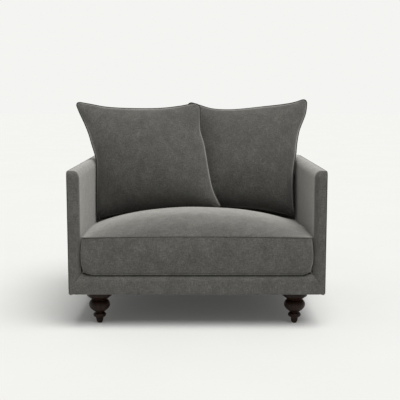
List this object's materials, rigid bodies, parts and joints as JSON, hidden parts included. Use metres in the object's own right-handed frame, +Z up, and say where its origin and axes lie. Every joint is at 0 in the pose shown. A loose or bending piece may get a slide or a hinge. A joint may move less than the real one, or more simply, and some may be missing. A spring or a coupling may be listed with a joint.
{
  "type": "upholstered armchair",
  "caption": "Wide armchair with slab arms, a low raked back behind large loose back cushions, a loose crowned seat cushion and turned bun feet.",
  "frame": {"origin": "on the floor, under the middle of the chair", "axes": "+X across the chair towards the right-hand side seen from the front, +Y to the back, +Z up; the chair faces -Y"},
  "size_m": [1.148, 0.95, 0.9648],
  "materials": {
    "upholstery_fabric": "matte",
    "dust_cover_cloth": "matte",
    "padding_foam": "matte",
    "cushion_foam": "matte",
    "cushion_fibre": "matte",
    "felt_pad": "matte",
    "hardboard": "matte",
    "frame_timber": "matte",
    "dark_stained_wood": "satin",
    "spring_steel": "satin",
    "zinc_steel": "satin",
    "glide_plastic": "matte"
  },
  "bodies": {
    "frame": {"arm_cover_left": "upholstery_fabric", "arm_cover_right": "upholstery_fabric", "arm_front_post_left": "frame_timber", "arm_front_post_right": "frame_timber", "arm_padding_left": "padding_foam", "arm_padding_right": "padding_foam", "arm_panel_left": "hardboard", "arm_panel_right": "hardboard", "arm_rear_post_left": "frame_timber", "arm_rear_post_right": "frame_timber", "arm_top_rail_left": "frame_timber", "arm_top_rail_right": "frame_timber", "back_padding": "padding_foam", "back_panel": "hardboard", "back_top_rail": "frame_timber", "back_upright_left": "frame_timber", "back_upright_right": "frame_timber", "bottom_back_rail": "frame_timber", "dust_cover": "dust_cover_cloth", "front_rail": "frame_timber", "front_rail_padding": "padding_foam", "inside_back_cover": "upholstery_fabric", "leg_block_front_left": "frame_timber", "leg_block_front_right": "frame_timber", "leg_block_rear_left": "frame_timber", "leg_block_rear_right": "frame_timber", "leg_bolt_front_left": "zinc_steel", "leg_bolt_front_right": "zinc_steel", "leg_bolt_rear_left": "zinc_steel", "leg_bolt_rear_right": "zinc_steel", "leg_front_left": "dark_stained_wood", "leg_front_right": "dark_stained_wood", "leg_glide_front_left": "glide_plastic", "leg_glide_front_right": "glide_plastic", "leg_glide_rear_left": "glide_plastic", "leg_glide_rear_right": "glide_plastic", "leg_rear_left": "dark_stained_wood", "leg_rear_right": "dark_stained_wood", "outside_back_cover": "upholstery_fabric", "rear_spring_rail": "frame_timber", "seat_brace": "frame_timber", "seat_platform_cover": "upholstery_fabric", "seat_spring_1": "spring_steel", "seat_spring_2": "spring_steel", "seat_spring_3": "spring_steel", "seat_spring_4": "spring_steel", "seat_spring_5": "spring_steel", "seat_spring_6": "spring_steel", "seat_spring_7": "spring_steel", "side_rail_left": "frame_timber", "side_rail_right": "frame_timber", "spring_clip_strip_front": "spring_steel", "spring_clip_strip_rear": "spring_steel", "spring_cover_pad": "felt_pad"},
    "seat_cushion": {"seat_cushion_cover": "upholstery_fabric", "seat_cushion_foam": "cushion_foam"},
    "back_cushion_left": {"back_cushion_cover_left": "upholstery_fabric", "back_cushion_filling_left": "cushion_fibre"},
    "back_cushion_right": {"back_cushion_cover_right": "upholstery_fabric", "back_cushion_filling_right": "cushion_fibre"}
  },
  "joints": [
    {"name": "seat_cushion_slide", "type": "slide", "parent": "frame", "child": "seat_cushion", "axis": [0, -1, 0], "range_m": [0, 0.75]},
    {"name": "back_cushion_left_lift", "type": "slide", "parent": "frame", "child": "back_cushion_left", "axis": [0, 0.225, 0.9744], "range_m": [0, 0.6]},
    {"name": "back_cushion_right_lift", "type": "slide", "parent": "frame", "child": "back_cushion_right", "axis": [0, 0.225, 0.9744], "range_m": [0, 0.6]}
  ]
}
